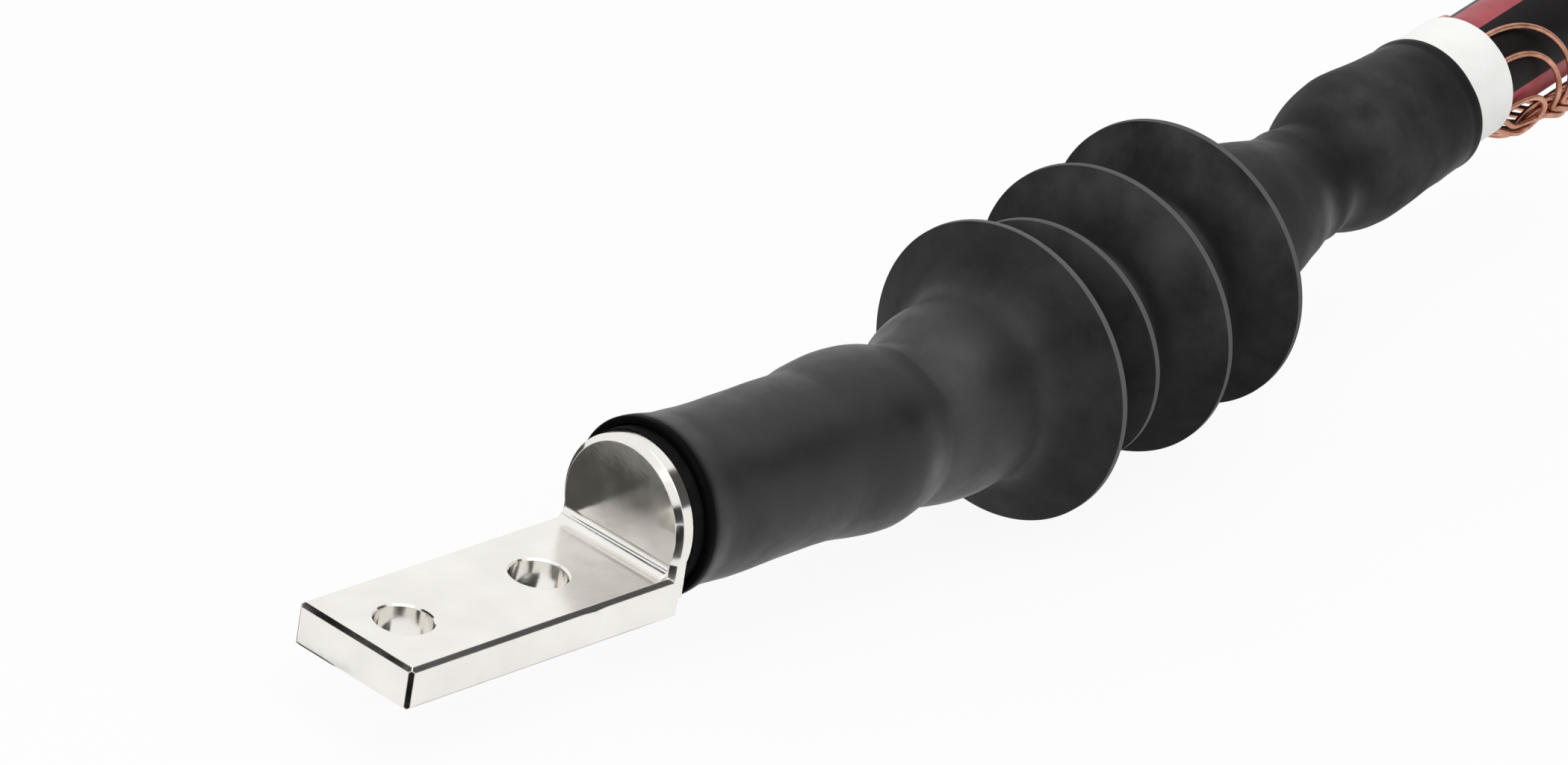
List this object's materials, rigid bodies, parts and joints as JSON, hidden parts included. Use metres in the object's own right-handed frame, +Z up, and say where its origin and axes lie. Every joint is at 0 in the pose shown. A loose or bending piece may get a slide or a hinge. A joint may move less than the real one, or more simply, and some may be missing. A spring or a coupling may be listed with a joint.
{
  "type": "cable termination",
  "caption": "Bent medium-voltage cable termination with a plated two-hole lug, black rubber sheds, striped jacket and twisted copper neutral pigtail.",
  "frame": {"origin": "middle of the two bolt holes, on the palm's contact face", "axes": "+Z up through the palm along the bolts, +X along the lug's axis towards the cable, +Y to the left"},
  "size_m": [0.4982, 0.0884, 0.0847],
  "materials": {
    "plated_lug": "bright tin plating",
    "bare_aluminium": "bare metal",
    "plated_bolt": "plated, broken face",
    "semiconducting_black": "matte",
    "insulation_white": "smooth, slightly milky",
    "stress_rubber": "matte",
    "yellow_mastic": "soft, tacky",
    "black_mastic": "soft, tacky",
    "body_rubber": "matte with a soft sheen",
    "jacket_black": "smooth",
    "jacket_red": "smooth",
    "bare_copper": "bare copper, lightly tarnished",
    "white_tape": "smooth tape"
  },
  "bodies": {
    "root": {"lug": "plated_lug", "bore_insert": "bare_aluminium", "shear_bolts": "plated_bolt", "conductor": "bare_aluminium", "conductor_shield": "semiconducting_black", "insulation": "insulation_white", "insulation_shield": "semiconducting_black", "stress_control_tube": "stress_rubber", "screen_edge_mastic": "yellow_mastic", "lug_gap_mastic": "black_mastic", "front_seal_mastic": "black_mastic", "rear_seal_mastic": "black_mastic", "termination_body": "body_rubber", "jacket": "jacket_black", "jacket_stripes": "jacket_red", "neutral_wires": "bare_copper", "white_tape": "white_tape"}
  },
  "joints": []
}
